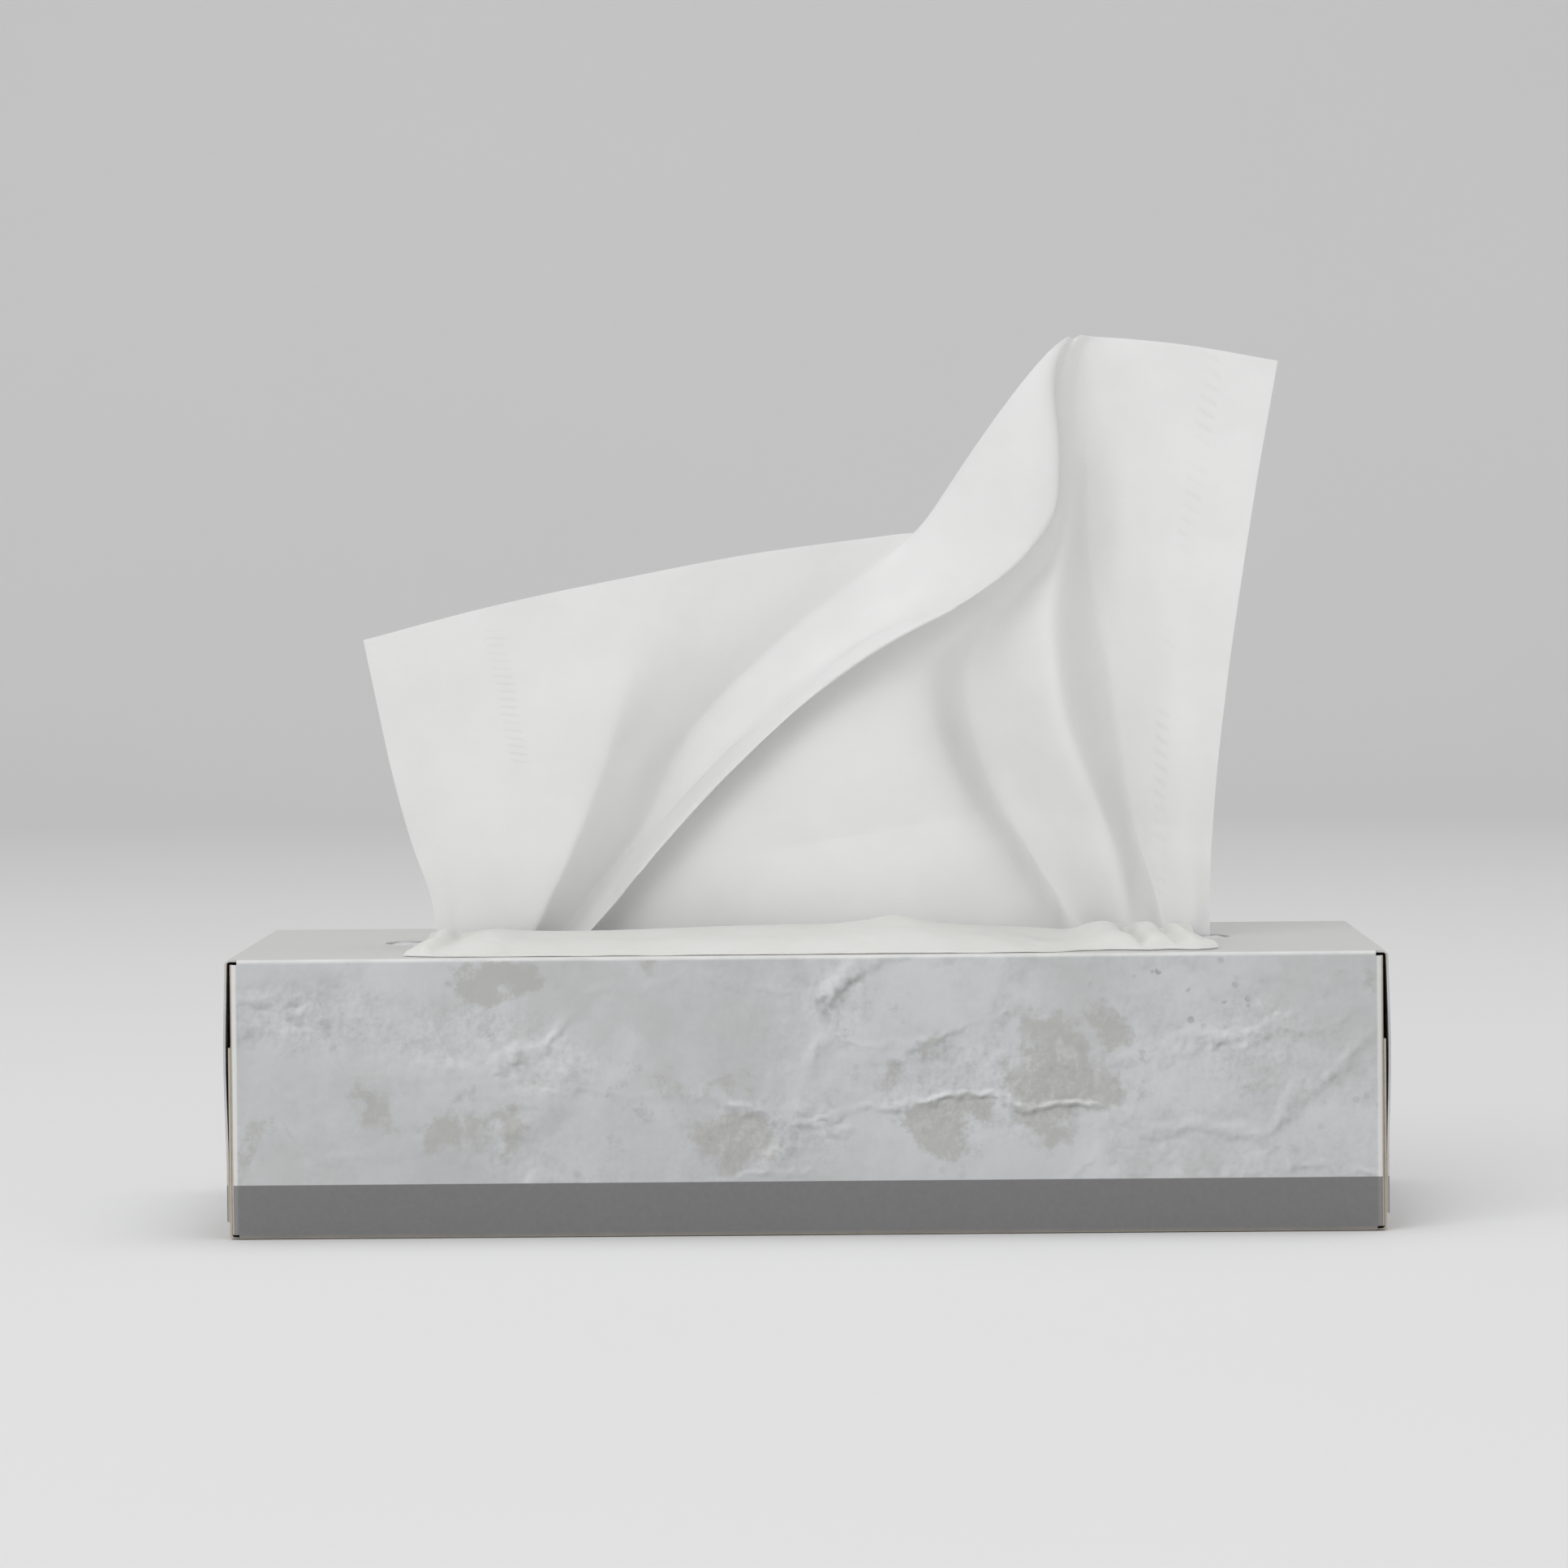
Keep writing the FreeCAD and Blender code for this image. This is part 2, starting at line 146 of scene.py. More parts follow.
# Next sheet, over the front of the top panel, as (x, crest height, front edge's y)
NEXT_SHEET = (
    (-80.5, 1.0, -50), (-78.5, 2.6, -51.5), (-76.2, 3.8, -53), (-73.5, 1.3, -54), (-70, 2.6, -55),
    (-66, 3.3, -55.3), (-60, 2.2, -55.5), (-48, 1.6, -55.6), (-36, 1.7, -55.6), (-22, 2.7, -55.8),
    (-8, 3.5, -55.8), (2, 3.7, -55.8), (12, 4.7, -55.8), (18, 5.6, -55.8), (24, 4.6, -55.8),
    (33, 3.4, -55.8), (43, 1.9, -55.5), (50, 0.9, -54.8), (54, 1.0, -52), (57.5, 3.0, -51),
    (61.5, 4.2, -49.5), (65.2, 3.4, -51), (67.4, 0.7, -52), (69.6, 3.6, -51), (72.6, 4.0, -50),
    (75, 1.5, -51), (77.4, 3.5, -52), (80, 2.1, -50), (82, 0.9, -47),
)
NEXT_STEPS = 6
NEXT_ROWS = 6
CREST_BACK = 20.0
SLOPE_BACK = 34.0
SLOPE_SHARE = 0.8
SLOPE_GAP = 0.1
FOOT_BACK = 46.0
FOOT_SHARE = 0.5
FOOT_GAP = 0.2
EDGE_GAP = 0.16
SHEET_CLEAR = 0.55
ROOT_DEPTH = 5.0
ROOT_SHARE = 0.65
ROUNDED = 0.8
STRAY_FROM = 14.0
STRAY_LENGTH = 40.0
STRAY_ASIDE = 1.6
STRAY_BACK = 1.3
STRAY_FINE = 0.5
GATHERED = 0.955
LOOSE_FROM = (16.0, 24.0)
HELD_EDGE = 1 / 6
HELD_SHARE = 0.15

# Print on the front: place and half size of its patches, in millimetres along and up the panel
WARM_PATCHES = (
    ((-66.0, 20.0), (14.0, 9.0)), ((-15.0, 18.0), (13.0, 9.0)), ((30.0, 22.0), (14.0, 10.0)),
    ((47.0, 32.0), (13.0, 10.0)), ((56.0, 41.0), (10.0, 8.0)), ((-61.0, 51.0), (12.0, 6.0)),
)
ROUGH_PATCHES = (
    ((-98.0, 44.0), (24.0, 9.0)), ((-68.0, 40.0), (26.0, 8.0)), ((-52.0, 35.0), (14.0, 9.0)),
    ((36.0, 29.0), (30.0, 14.0)), ((88.0, 37.0), (15.0, 14.0)), ((-8.0, 20.0), (20.0, 10.0)),
    ((7.0, 47.0), (9.0, 10.0)),
)
PITTED_PATCH = ((74.0, 48.0), (23.0, 9.0))
RELIEF_STEP = (0.0005, 0.0005, -0.0005)
RELIEF_CONTRAST = 1.8

# Floor that sweeps up into a backdrop, in millimetres
FLOOR_FRONT = 4000.0
FLOOR_BACK = 2200.0
FLOOR_HALF_WIDTH = 5000.0
SWEEP_RADIUS = 900.0
SWEEP_STEPS = 12
BACKDROP_HEIGHT = 4000.0

# Fitted camera: place in metres, angles in degrees and lens in millimetres
CAMERA_PLACE = (0.0120, -1.4172, 0.1321)
CAMERA_YAW = 0.672
CAMERA_PITCH = -1.799
CAMERA_ROLL = -0.525
CAMERA_LENS = 158.26


def tone(red, green, blue):
    """Linear colour of an eight-bit display colour."""
    linear = []
    for level in (red, green, blue):
        share = level / 255
        linear.append(share / 12.92 if share <= 0.04045 else ((share + 0.055) / 1.055) ** 2.4)
    return (*linear, 1.0)


class Value:
    """One output of a material's nodes, on which plain arithmetic can be written."""

    def __init__(self, tree, socket=None):
        self.tree = tree
        self.socket = socket

    def node(self, kind, inputs, output=0, **settings):
        """New node with these settings and inputs, as the value of one of its outputs."""
        made = self.tree.nodes.new(kind)
        for key, value in settings.items():
            setattr(made, key, value)
        for key, value in inputs.items():
            if isinstance(value, Value):
                self.tree.links.new(value.socket, made.inputs[key])
            else:
                made.inputs[key].default_value = value
        return Value(self.tree, made.outputs[output])

    def maths(self, operation, other=0.0):
        """Result of a Math node with this value first."""
        return self.node("ShaderNodeMath", {0: self, 1: other}, operation=operation)

    def maths_after(self, operation, other):
        """Result of a Math node with this value second."""
        return self.node("ShaderNodeMath", {0: other, 1: self}, operation=operation)

    def __add__(self, other):
        return self.maths("ADD", other)

    def __sub__(self, other):
        return self.maths("SUBTRACT", other)

    def __mul__(self, other):
        return self.maths("MULTIPLY", other)

    def __truediv__(self, other):
        return self.maths("DIVIDE", other)

    __radd__ = __add__
    __rmul__ = __mul__

    def __rsub__(self, other):
        return self.maths_after("SUBTRACT", other)

    def __rtruediv__(self, other):
        return self.maths_after("DIVIDE", other)

    def __neg__(self):
        return self * -1.0

    def step(self, low, high):
        """Smooth rise from 0 at low to 1 at high."""
        inputs = {"Value": self, "From Min": low, "From Max": high}
        return self.node("ShaderNodeMapRange", inputs, interpolation_type="SMOOTHSTEP")

    def mix(self, first, second):
        """Colour from first, where this value is 0, to second, where it is 1."""
        return self.node("ShaderNodeMix", {0: self, 6: first, 7: second}, output=2, data_type="RGBA")

    def noise(self, scale, detail=3.0, roughness=0.5, output=0):
        """Noise at this point; output 1 gives three noises as a point."""
        inputs = {"Vector": self, "Scale": scale, "Detail": detail, "Roughness": roughness}
        return self.node("ShaderNodeTexNoise", inputs, output)

    def plus(self, other, size):
        """This point moved by another one times a size."""
        inputs = {0: other, 1: (size, size, size), 2: self}
        return self.node("ShaderNodeVectorMath", inputs, operation="MULTIPLY_ADD")

    def cells(self, scale, feature="F1"):
        """Distance in a pattern of cells at this point."""
        return self.node("ShaderNodeTexVoronoi", {"Vector": self, "Scale": scale}, feature=feature)

    def moved(self, place=(0.0, 0.0, 0.0), scale=(1.0, 1.0, 1.0)):
        """This point, shifted and stretched."""
        return self.node("ShaderNodeMapping", {"Vector": self, "Location": place, "Scale": scale})

    def parts(self):
        """The three numbers of this point."""
        split = self.node("ShaderNodeSeparateXYZ", {0: self})
        return [Value(self.tree, output) for output in split.socket.node.outputs]

    def bump(self, strength, distance):
        """Normal of a surface raised by this height."""
        inputs = {"Height": self, "Strength": strength, "Distance": distance}
        return self.node("ShaderNodeBump", inputs)


def new_material(name, roughness):
    """Material with its shader and the coordinates that its patterns read."""
    material = bpy.data.materials.new(name)
    material.use_nodes = True
    tree = material.node_tree
    shader = tree.nodes["Principled BSDF"]
    shader.inputs["Roughness"].default_value = roughness
    point = Value(tree).node("ShaderNodeTexCoord", {}, "Object")
    flat = Value(tree).node("ShaderNodeTexCoord", {}, "UV")
    return material, shader, point, flat


def link(shader, **values):
    """Drives inputs of a shader; an underscore in a name stands for a space."""
    for key, value in values.items():
        value.tree.links.new(value.socket, shader.inputs[key.replace("_", " ")])


def spot(x, z, place, size):
    """Soft oval patch on the front at place, of this half size, both in millimetres."""
    across = (x - place[0] * MM) / (size[0] * MM)
    upward = (z - place[1] * MM) / (size[1] * MM)
    return 1 - (across * across + upward * upward).step(0.15, 1.0)


def relief(point):
    """Height of the plaster at this point: torn ridges over small lumps."""
    bent = point.plus(point.noise(40.0, 4.0, 0.6, output=1), 0.022)
    ridge = bent.moved(scale=(0.55, 0.55, 1.25)).cells(42.0, "DISTANCE_TO_EDGE").step(0.0, 0.09)
    return ridge * 0.45 + point.noise(210.0, 6.0, 0.7) * 0.8 + point.noise(60.0, 3.0) * 1.1


def spots(x, z, places):
    """Soft oval patches on the front, the strongest one at each point."""
    found = spot(x, z, *places[0])
    for place, size in places[1:]:
        found = found.maths("MAXIMUM", spot(x, z, place, size))
    return found


def clouds(point, x, z, front):
    """Pale clouds of the print, with warm patches in them."""
    cloud = point.noise(19.0, 6.0, 0.66)
    colour = cloud.step(0.32, 0.68).mix(tone(184, 185, 187), tone(199, 201, 203))
    patch = point.moved((0.2, 0.1, 0.6)).noise(30.0, 7.0, 0.7).step(0.47, 0.62)
    colour = (patch * 0.45).mix(colour, tone(178, 178, 176))
    ragged = point.moved((0.31, 0.0, 0.12)).noise(58.0, 7.0, 0.72)
    blotch = (spots(x, z, WARM_PATCHES) * front * 0.2 + ragged).step(0.58, 0.68)
    elsewhere = point.moved((0.7, 0.2, 0.4)).noise(26.0, 6.0, 0.66).step(0.6, 0.66)
    return (blotch.maths("MAXIMUM", elsewhere) * 0.75).mix(colour, tone(171, 170, 167))


def ridged(colour, point, x, z, front):
    """The print with its torn ridges, light on one side and dark on the other."""
    lit = relief(point) - relief(point.moved(RELIEF_STEP))
    elsewhere = point.moved((0.15, 0.5, 0.2)).noise(16.0, 3.0).step(0.5, 0.62) * 0.45
    rough = (spots(x, z, ROUGH_PATCHES) * front).maths("MAXIMUM", elsewhere) + 0.16
    colour = (lit * rough * RELIEF_CONTRAST).maths("MAXIMUM").mix(colour, tone(222, 223, 224))
    return (lit * rough * -RELIEF_CONTRAST).maths("MAXIMUM").mix(colour, tone(140, 140, 139))


def pitted(colour, point, x, z, front):
    """The print with its small dark pits."""
    pits = (1 - point.cells(310.0).step(0.17, 0.27)) * point.noise(90.0, 2.0).step(0.45, 0.52)
    elsewhere = point.noise(11.0, 2.0).step(0.6, 0.72) * 0.4
    where = (spot(x, z, *PITTED_PATCH) * front).maths("MAXIMUM", elsewhere)
    return (pits * where * 0.75).mix(colour, tone(146, 146, 145))


def plaster(point, x, z, front):
    """Printed stone pattern: pale clouds, warm patches, ridges, pits and streaks."""
    colour = clouds(point, x, z, front)
    colour = ridged(colour, point, x, z, front)
    colour = pitted(colour, point, x, z, front)
    streak = point.moved(scale=(190.0, 190.0, 14.0)).noise(1.0, 4.0, 0.6).step(0.5, 0.7)
    return (x.step(0.1, 0.111) * streak * 0.6).mix(colour, tone(176, 175, 172))


def worn_and_highlit(colour, point, strip, side, end, z):
    """The print with its rubbed folds: lighter round the top and at the upright corners, partly wear and
    partly a painted highlight of the rounded folds, and brownish rubbed board round the foot.
    """
    # Uneven strength along the folds, of both the rubbing and the painted highlight
    rub_and_sheen = point.moved(scale=(60.0, 1.0, 1.0)).noise(2.0, 4.0, 0.7).step(0.25, 0.7) * 0.5 + 0.5
    corner = side.step(0.0566, 0.0572).maths("MAXIMUM", end.step(0.1141, 0.1147))
    # Top folds: wear plus a painted highlight where the rounded fold catches the light
    fold = corner * z.step(0.0546, 0.0551) * rub_and_sheen
    foot = corner * (1 - z.step(0.0003, 0.0012)) * rub_and_sheen
    colour = (fold * 0.75).mix(colour, tone(226, 226, 224))
    colour = (foot * 0.5).mix(colour, tone(176, 168, 156))
    # Upright corners: wear plus a painted highlight, kept faint over the dark strip
    upright = side.step(0.0565, 0.0571) * end.step(0.1125, 0.1130)
    return (upright * rub_and_sheen * (0.85 - strip * 0.75)).mix(colour, tone(226, 225, 222))


def printed_side(side, end, z):
    """Where the board shows its printed side: the walls, the top and the base."""
    walls = side.step(0.05722, 0.05732).maths("MAXIMUM", end.step(0.1147, 0.11485))
    level = z.step(0.05495, 0.05505).maths("MAXIMUM", 1 - z.step(0.0002, 0.0003))
    return walls.maths("MAXIMUM", level)


def board_material(settings):
    """Board, printed outside and plain inside and on its cut edges."""
    material, shader, point, _ = new_material("printed_board", 0.62)
    x, y, z = point.parts()
    side = y.maths("ABSOLUTE")
    end = x.maths("ABSOLUTE")
    front = (-y).step(0.056, 0.0572)
    strip = 1 - z.step(settings.strip_height, settings.strip_height + 0.0002)
    dark = point.noise(900.0, 2.0).mix(tone(114, 113, 114), tone(123, 122, 123))
    colour = strip.mix(plaster(point, x, z, front), dark)
    top_tint = point.noise(240.0, 4.0, 0.6).mix(tone(196, 196, 194), tone(203, 203, 201))
    colour = z.step(0.05515, 0.05535).mix(colour, top_tint)
    # Wear, and a painted highlight along the top folds and upright corners
    colour = worn_and_highlit(colour, point, strip, side, end, z)
    fibre = point.noise(700.0, 4.0, 0.7)
    raw = fibre.mix(tone(170, 160, 146), tone(196, 189, 178))
    link(shader, Base_Color=printed_side(side, end, z).mix(raw, colour))
    weave = fibre * 0.6 + point.noise(110.0, 3.0) * 0.4
    link(shader, Normal=weave.bump(0.25, settings.board_relief))
    link(shader, Roughness=fibre * 0.16 + 0.5)
    shader.inputs["Specular IOR Level"].default_value = 0.35
    return material


def doubled_below(point):
    """Where the raised sheet lies in two layers, below the crease of its half fold."""
    x, _, z = point.parts()
    left = (CREASE_TOP[0] * MM - x).maths("MAXIMUM") * CREASE_FALL[0]
    right = (x - CREASE_TOP[0] * MM).maths("MAXIMUM") * CREASE_FALL[1]
    crease = CREASE_TOP[1] * MM - left - right
    return (crease - z).step(-0.0002, 0.0004) * x.step(-0.018, -0.004)


def pressed_dashes(point, flat):
    """Slanting dashes that hold the plies together, in a faded band near each side edge."""
    across, along, _ = flat.parts()
    slant = (along * 46.0 + across * 30.0).maths("FRACT")
    dashes = slant.step(0.3, 0.42) * (1 - slant.step(0.62, 0.74))
    left = 1 - (across - 0.125).maths("ABSOLUTE").step(0.007, 0.011)
    right = 1 - (across - 0.94).maths("ABSOLUTE").step(0.007, 0.011)
    faded = point.noise(60.0, 2.0).step(0.4, 0.6)
    return (left + right) * dashes * along.step(0.1, 0.2) * faded


def let_through(shader, point, share):
    """Lets this share of the light pass through a shader's surface."""
    glow = point.node("ShaderNodeBsdfTranslucent", {"Color": tone(252, 252, 251)})
    solid = Value(point.tree, shader.outputs[0])
    blend = point.node("ShaderNodeMixShader", {0: share, 1: solid, 2: glow})
    point.tree.links.new(blend.socket, point.tree.nodes["Material Output"].inputs["Surface"])


def paper_material(name, settings, light, dark, folded=False):
    """Soft creped paper that lets some light through, and less of it where it is folded double."""
    material, shader, point, flat = new_material(name, 0.92)
    crepe = point.moved(scale=(1.0, 1.0, 0.35)).noise(2600.0, 3.0, 0.6)
    cloud = point.noise(70.0, 4.0, 0.6)
    pressed = pressed_dashes(point, flat)
    colour = cloud.step(0.3, 0.7).mix(light, dark)
    link(shader, Base_Color=(pressed * 0.2).mix(colour, tone(214, 214, 212)))
    height = crepe * 0.35 + cloud * 0.25 - pressed * 0.9
    link(shader, Normal=height.bump(0.35, settings.paper_relief))
    shader.inputs["Specular IOR Level"].default_value = 0.15
    share = settings.translucency
    if folded:
        share = share - doubled_below(point) * 0.1
    let_through(shader, point, share)
    return material


def film_material():
    """Thin clear film with a faint haze."""
    material, shader, point, _ = new_material("clear_film", 0.16)
    haze = point.noise(45.0, 4.0, 0.6)
    link(shader, Alpha=haze * 0.3 + 0.62)
    link(shader, Base_Color=haze.mix(tone(226, 228, 228), tone(246, 247, 247)))
    link(shader, Normal=point.moved(scale=(1.0, 3.0, 1.0)).noise(120.0, 3.0).bump(0.4, 0.0004))
    return material


def hermite(start, finish, leave, arrive, part):
    """Point between two others, for the slopes with which a curve leaves and arrives."""
    rest = 1 - part
    ends = start * ((1 + 2 * part) * rest * rest) + finish * ((1 + 2 * rest) * part * part)
    return ends + leave * (part * rest * rest) - arrive * (rest * part * part)


def smooth_line(points, soft, steps):
    """Points on a line through the given ones; soft says how rounded each bend is."""
    count = len(points)
    lengths = [max((b - a).length, 1e-6) for a, b in zip(points, points[1:])]
    slopes = [(b - a) / d for a, b, d in zip(points, points[1:], lengths)]
    bends = []
    for i in range(count):
        before, after = max(i - 1, 0), min(i, count - 2)
        share = lengths[before] / (lengths[before] + lengths[after])
        bends.append((slopes[before] * (1 - share) + slopes[after] * share) * soft[i])
    line = []
    for i in range(count - 1):
        for k in range(steps[i]):
            leave, arrive = bends[i] * lengths[i], bends[i + 1] * lengths[i]
            line.append(hermite(points[i], points[i + 1], leave, arrive, k / steps[i]))
    line.append(points[-1])
    return line


def even_line(points, count):
    """Points at equal steps of length along a smooth line through the given ones."""
    line = smooth_line(points, [1.0] * len(points), [16] * (len(points) - 1))
    reach = [0.0]
    for a, b in zip(line, line[1:]):
        reach.append(reach[-1] + (b - a).length)
    found, i = [], 0
    for k in range(count + 1):
        target = reach[-1] * k / count
        while i < len(line) - 2 and reach[i + 1] < target:
            i += 1
        part = (target - reach[i]) / max(reach[i + 1] - reach[i], 1e-9)
        found.append(line[i].lerp(line[i + 1], min(part, 1.0)))
    return found


def ramp(value, low, high):
    """Straight rise from 0 at low to 1 at high."""
    return min(max((value - low) / (high - low), 0.0), 1.0)


def raised_fold(line, fold_depth):
    """Even points on one fold of the raised sheet, in millimetres, from the pile to its free edge."""
    share = fold_depth if line[0][0] < RIGHT_PART else 1.0
    points = []
    for x, y, z in line:
        lifted = ramp(z, 0.0, FULL_DEPTH_RISE)
        points.append(Vector((x, y * (1 - lifted + lifted * share), HEIGHT + z)))
    foot = points[0]
    root = Vector((foot.x * SPREAD_IN_BOX, foot.y * NARROW_IN_BOX, PILE_TOP))
    below = [root.lerp(foot, k / ROWS_BELOW) for k in range(ROWS_BELOW)]
    return below + even_line(points, ROWS_ABOVE)


def raised_net(fold_depth):
    """Rows of points of the raised sheet, in millimetres, from the pile to its free edge."""
    folds = [raised_fold(line, fold_depth) for *_, line in RAISED_LINES]
    steps = [line[2] for line in RAISED_LINES[:-1]]
    rows = []
    for i, points in enumerate(zip(*folds)):
        share = max(i - ROWS_BELOW, 0) / ROWS_ABOVE
        soft = [foot + (top - foot) * share * share for foot, top, *_ in RAISED_LINES]
        rows.append(smooth_line(points, soft, steps))
    return rows


def crease_height(x):
    """Height of the raised sheet's half-fold crease at x, in millimetres."""
    left = CREASE_FALL[0] * max(CREASE_TOP[0] - x, 0.0)
    right = CREASE_FALL[1] * max(x - CREASE_TOP[0], 0.0)
    return CREASE_TOP[1] - left - right


def raised_wrinkles(settings):
    """How far a point of the raised sheet stands out, in millimetres, as a function of the point."""
    shift = Vector((settings.seed * 1.3, 2.2, 0.4))

    def depth(p, along):
        rise = p.z - HEIGHT
        soft = noise.noise(Vector((p.x / 26.0, p.z / 42.0, 0.0)) + shift)
        fine = noise.noise(Vector((p.x / 8.0, p.z / 14.0, 3.0)) + shift)
        gathered = noise.noise(Vector((p.x / 3.4, p.z / 60.0, 7.0)) + shift)
        near_foot = 1 - ramp(rise, 0.0, GATHERED_RISE)
        above = max(ramp(rise, 0.0, STILL_RISE), STILL_SHARE)
        doubled = ramp(crease_height(p.x) - p.z, 0.0, CREASE_SLOPE) * ramp(p.x, *CREASE_ENDS)
        small = 1.5 * soft + 0.35 * fine + 1.6 * near_foot * gathered
        return settings.wrinkle * above * small + CREASE_STEP * doubled

    return depth


def slit_half_width(x):
    """Half the width of the opened slit at x, in millimetres."""
    half = SLIT_LENGTH / 2
    radius = (half * half + SLIT_SPREAD * SLIT_SPREAD) / (2 * SLIT_SPREAD)
    return math.sqrt(max(radius * radius - x * x, 0.0)) - (radius - SLIT_SPREAD)


def oval_reach(x, y):
    """How far out a point lies in the opening, from 0 in its middle to 1 on its edge."""
    return math.hypot(2 * x / OPENING_LENGTH, 2 * y / OPENING_WIDTH)


def film_height(x, y):
    """Height of the film, in millimetres."""
    reach = min(oval_reach(x, y), 1.0)
    swell = FILM_SWELL * min((1.0 - reach) / FILM_SHOULDER, 1.0)
    return HEIGHT - FILM_DROP + swell + FILM_RISE * (1 + math.cos(math.pi * reach)) / 2


def film_net(long, wide, seed):
    """Rows of points of the film, in millimetres, in front of the slit and then behind it."""
    shift = Vector((seed * 3.1, 0.7, 0.2))
    rows = []
    for i in range(2 * FILM_ROWS + 2):
        front = i <= FILM_ROWS
        share = i / FILM_ROWS if front else (i - FILM_ROWS - 1) / FILM_ROWS
        row = []
        for j in range(FILM_COLUMNS + 1):
            x = -long + 2 * long * j / FILM_COLUMNS
            half = slit_half_width(x) if abs(x) < SLIT_LENGTH / 2 else 0.0
            y = -wide + (wide - half) * share if front else half + (wide - half) * share
            loose = max(1.0 - oval_reach(x, y), 0.0)
            crease = noise.noise(Vector((x * 0.16, y * 0.03, 0.0)) + shift)
            row.append(Vector((x, y, film_height(x, y) + FILM_CREASE * loose * crease)))
        rows.append(row)
    return rows


def pile_net(seed):
    """Rows of points round the pile, in millimetres, with one bulge for each fold."""
    fold = PILE_HEIGHT / PILE_FOLDS
    section = []
    for k in range(PILE_FOLDS):
        for part in FOLD_PARTS:
            section.append((math.sin(math.pi * part) ** 0.5, BOARD + fold * (k + part), k))
    shift = Vector((0.0, seed * 1.7, 0.0))
    rows = []
    for side, line in ((1, section), (-1, section[::-1])):
        for bulge, height, k in line:
            row = []
            for j in range(PILE_STEPS + 1):
                x = -SHEET_WIDTH / 2 + SHEET_WIDTH * j / PILE_STEPS
                uneven = FOLD_UNEVEN * noise.noise(Vector((x * 0.02, k * 0.9, side)) + shift)
                y = side * (SHEET_FOLDED / 2 - FOLD_ROOM + FOLD_BULGE * bulge + uneven)
                row.append(Vector((x, y, height)))
            rows.append(row)
    rows.append(rows[0])
    return rows[::-1]


def foot_front(x):
    """How far the raised sheet's foot stands forward of the slit's middle at x."""
    feet = [line[3][0] for line in RAISED_LINES]
    for low, high in zip(feet, feet[1:]):
        if low[0] <= x <= high[0]:
            return -(low[1] + (high[1] - low[1]) * (x - low[0]) / (high[0] - low[0]))
    return 0.0


def next_profile(x, crest, front):
    """Line of the next sheet at x, from the slit to its front edge, as (distance forward, rise)."""
    edge = slit_half_width(x)
    root = ROOT_SHARE * edge + (1 - ROOT_SHARE) * foot_front(x)
    over_lip = max(film_height(x, edge) - HEIGHT, 0.0) + SHEET_CLEAR
    on_crest = max(film_height(x, CREST_BACK) - HEIGHT, 0.0) + SHEET_CLEAR
    return (
        (root, -ROOT_DEPTH), (root, 0.0), (edge, over_lip), (CREST_BACK, max(crest, on_crest)),
        (SLOPE_BACK, SLOPE_SHARE * crest + SLOPE_GAP), (FOOT_BACK, FOOT_SHARE * crest + FOOT_GAP),
        (-front, EDGE_GAP),
    )


def next_point(x, forward, rise):
    """Point of the next sheet, which spreads and strays a little towards its front edge."""
    out = max(forward - STRAY_FROM, 0.0) / STRAY_LENGTH
    aside = STRAY_ASIDE * out * noise.noise(Vector((x * 0.09, forward * 0.07, 4.0)))
    broad = STRAY_BACK * out * noise.noise(Vector((x * 0.06, 8.0, 1.0)))
    fine = STRAY_FINE * out * noise.noise(Vector((x * 0.3, 2.0, 1.0)))
    spread = GATHERED + (1 - GATHERED) * min(out, 1.0)
    return Vector((x * spread + aside, abs(broad + fine) - forward, HEIGHT + rise))


def next_net():
    """Rows of points of the next sheet, in millimetres, from the slit to its front edge."""
    columns = []
    for x, crest, front in NEXT_SHEET:
        points = [next_point(x, forward, rise) for forward, rise in next_profile(x, crest, front)]
        columns.append(smooth_line(points, [ROUNDED] * len(points), [NEXT_ROWS] * (len(points) - 1)))
    rows = []
    for points in zip(*columns):
        rows.append(smooth_line(points, [1.0] * len(points), [NEXT_STEPS] * (len(points) - 1)))
    return rows


def next_wrinkles(settings):
    """How far a point of the next sheet stands out, in millimetres, as a function of the point."""
    shift = Vector((settings.seed * 2.3, 5.1, 0.0))

    def depth(p, along):
        loose = ramp(-p.y, *LOOSE_FROM) * max(ramp(1 - along, 0.0, HELD_EDGE), HELD_SHARE)
        pleat = noise.noise(Vector((p.x * 0.1 + p.y * 0.03, p.y * 0.05, 0.0)) + shift)
        fine = noise.noise(Vector((p.x * 0.3, p.y * 0.2 - p.x * 0.05, 1.0)) + shift)
        return settings.wrinkle * loose * (1.9 * max(pleat, -0.25) + 0.9 * fine)

    return depth


def net_normals(rows):
    """Unit normal of the net at each point."""
    normals = []
    for i, row in enumerate(rows):
        below, above = rows[max(i - 1, 0)], rows[min(i + 1, len(rows) - 1)]
        line = []
        for j in range(len(row)):
            across = row[min(j + 1, len(row) - 1)] - row[max(j - 1, 0)]
            line.append(across.cross(above[j] - below[j]).normalized())
        normals.append(line)
    return normals


def pressed_in(rows, depth):
    """The net with each point moved along its normal by depth(point, share of the way along)."""
    last = len(rows) - 1
    return [
        [p + n * depth(p, i / last) for p, n in zip(row, line)]
        for i, (row, line) in enumerate(zip(rows, net_normals(rows)))
    ]


def shares(row):
    """How far along a row each of its points lies, from 0 to 1."""
    reach = [0.0]
    for a, b in zip(row, row[1:]):
        reach.append(reach[-1] + (b - a).length)
    return [length / reach[-1] for length in reach]


